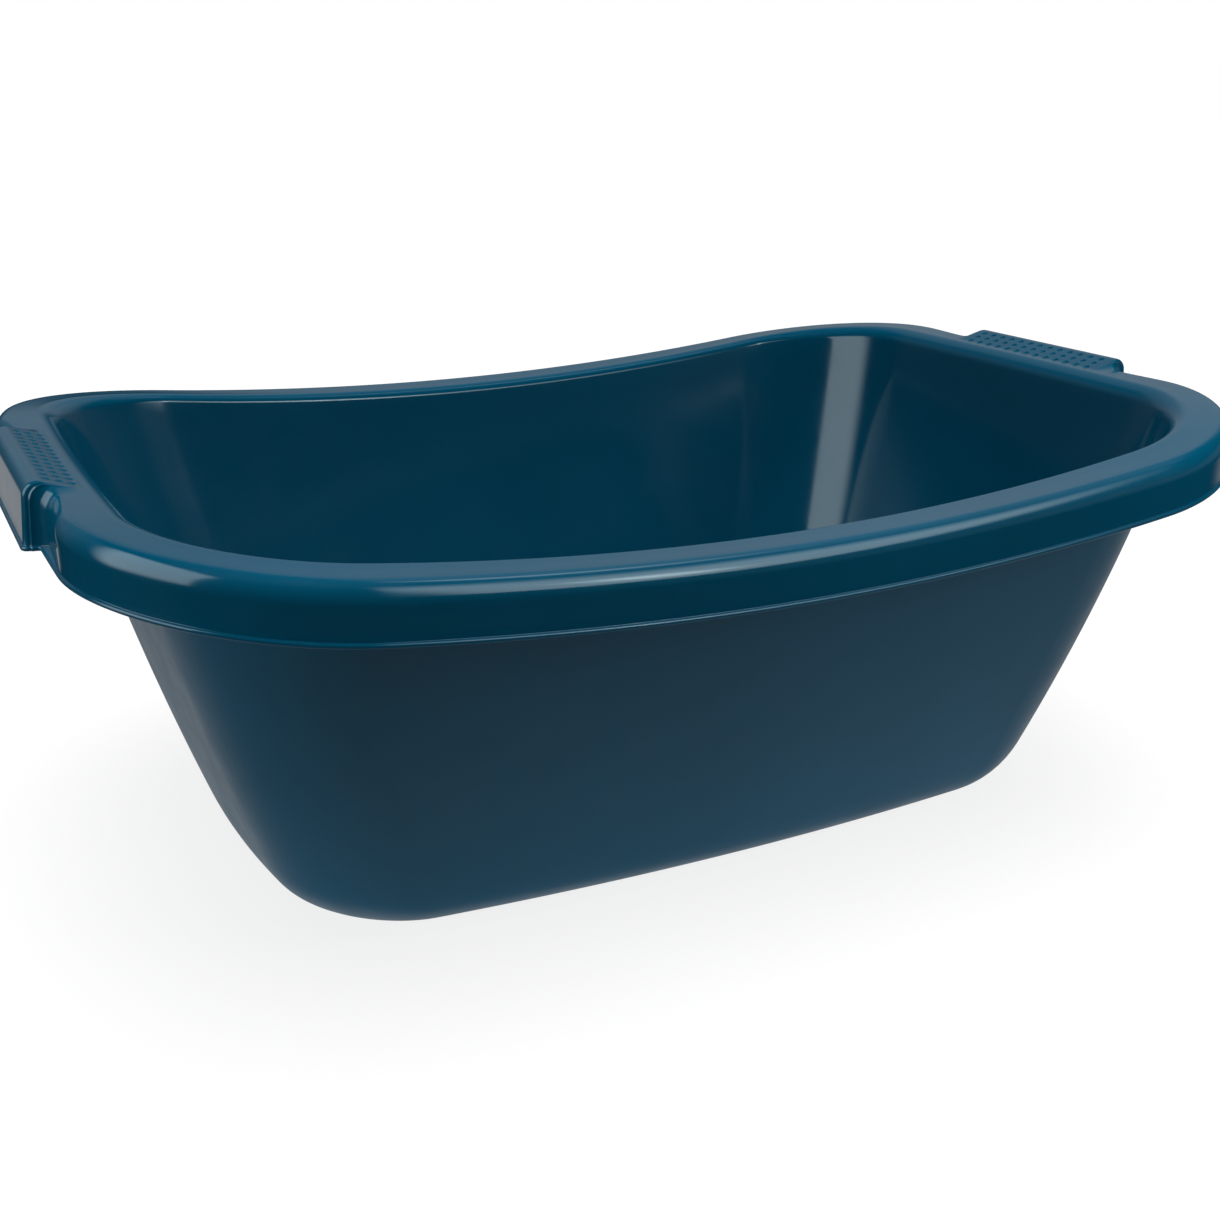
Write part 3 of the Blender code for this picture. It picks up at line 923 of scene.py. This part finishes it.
def box_light(name, place, facing, roll, size, strength, across, upwards, spread=WHOLE_SPREAD):
    """A soft box that shows only as a reflection.

    It fades over the shares across and upwards of its width and height, the low side first.
    """
    light = area_light(name, place, facing, roll, size, strength)
    light.data.color = BOX_COLOUR
    light.data.spread = radians(spread)
    light.visible_diffuse = False
    light.data.use_nodes = True
    tree = light.data.node_tree
    surface = tree.nodes.new("ShaderNodeNewGeometry")
    split = tree.nodes.new("ShaderNodeSeparateXYZ")
    tree.links.new(surface.outputs["Parametric"], split.inputs["Vector"])
    share = 1.0
    for value, (low, high) in zip(split.outputs, (across, upwards)):
        rise = node_range(tree, value, 0.0, low, 0.0, 1.0)
        fall = node_range(tree, value, 1.0 - high, 1.0, 1.0, 0.0)
        share = node_math(tree, "MULTIPLY", node_math(tree, "MULTIPLY", rise, fall), share)
    tree.links.new(share, tree.nodes["Emission"].inputs["Strength"])


def fill_light(name, place, facing, size, strength):
    """A light that shows only in how the plastic is lit, not as a reflection."""
    area_light(name, place, facing, 0.0, size, strength).visible_glossy = False


def make_lights():
    """The boxes in the reflections, a fill at each end and the soft light from above."""
    box_light(
        "left_box",
        place=(-0.943, -0.085, 0.568),
        facing=(-80.9, 25.3),
        roll=9.9,
        size=(0.88, 1.03),
        strength=2.625,
        across=(0.28, 0.06),
        upwards=(0.25, 0.18),
    )
    box_light(
        "right_box",
        place=(0.389, -0.985, 0.610),
        facing=(50.2, 62.6),
        roll=-22.0,
        size=(1.58, 0.56),
        strength=2.8125,
        across=(0.03, 0.14),
        upwards=(0.2, 0.16),
    )
    box_light(
        "right_streak",
        place=(0.336, -0.842, 0.662),
        facing=(147.0, 32.0),
        roll=0.0,
        size=(0.16, 0.34),
        strength=6.25,
        across=(0.45, 0.45),
        upwards=(0.4, 0.4),
    )
    box_light(
        "top_grid",
        place=(0.43, 0.05, 1.19),
        facing=(73.2, 65.8),
        roll=0.0,
        size=(0.36, 0.4),
        strength=0.09125,
        across=(0.3, 0.3),
        upwards=(0.3, 0.3),
        spread=36.0,
    )
    fill_light(
        "left_fill",
        place=(-1.05, -0.1, 0.12),
        facing=(-93.0, 4.0),
        size=(0.5, 0.3),
        strength=5.0,
    )
    fill_light(
        "right_fill",
        place=(0.6, -0.58, 0.36),
        facing=(134.0, 25.0),
        size=(0.3, 0.3),
        strength=5.0,
    )
    sky = make_light("sky", "SUN")
    sky.data.angle = radians(SKY_ANGLE)
    sky.data.energy = SKY_STRENGTH
    sky.visible_glossy = False


# The camera, fitted to the photo's outlines
CAMERA_PLACE = (-0.355693, -0.706582, 0.374507)
CAMERA_YAW = 0.441439
CAMERA_PITCH = 0.336539
CAMERA_ROLL = -0.009228
CAMERA_LENS = 45.698
CAMERA_SENSOR = 36.0
CAMERA_SHIFT = (0.03154, -0.00564)
CAMERA_CLIP = (0.01, 100.0)


def make_camera():
    data = bpy.data.cameras.new("photo_camera")
    data.sensor_width = CAMERA_SENSOR
    data.lens = CAMERA_LENS
    data.shift_x, data.shift_y = CAMERA_SHIFT
    data.clip_start, data.clip_end = CAMERA_CLIP
    camera = bpy.data.objects.new("photo_camera", data)
    bpy.context.scene.collection.objects.link(camera)
    forward = Vector((
        sin(CAMERA_YAW) * cos(CAMERA_PITCH),
        cos(CAMERA_YAW) * cos(CAMERA_PITCH),
        -sin(CAMERA_PITCH),
    ))
    level = Vector((cos(CAMERA_YAW), -sin(CAMERA_YAW), 0.0))
    put(camera, CAMERA_PLACE, forward, level, CAMERA_ROLL)
    bpy.context.scene.camera = camera


def main():
    gloss = plastic("petrol_gloss", **GLOSS_FINISH)
    satin = plastic("petrol_satin", **SATIN_FINISH)
    tub, outer_faces = make_tub()
    paint(tub, gloss, satin)
    for polygon in tub.data.polygons[:outer_faces]:
        polygon.material_index = 1
    paint(make_rim(), gloss)
    paint(make_grip("right_grip", "right_handle", 1.0), gloss)
    paint(make_grip("left_grip", "left_handle", -1.0), gloss)
    make_floor()
    make_world()
    make_lights()
    make_camera()
    bpy.context.scene.view_settings.view_transform = "Standard"


main()
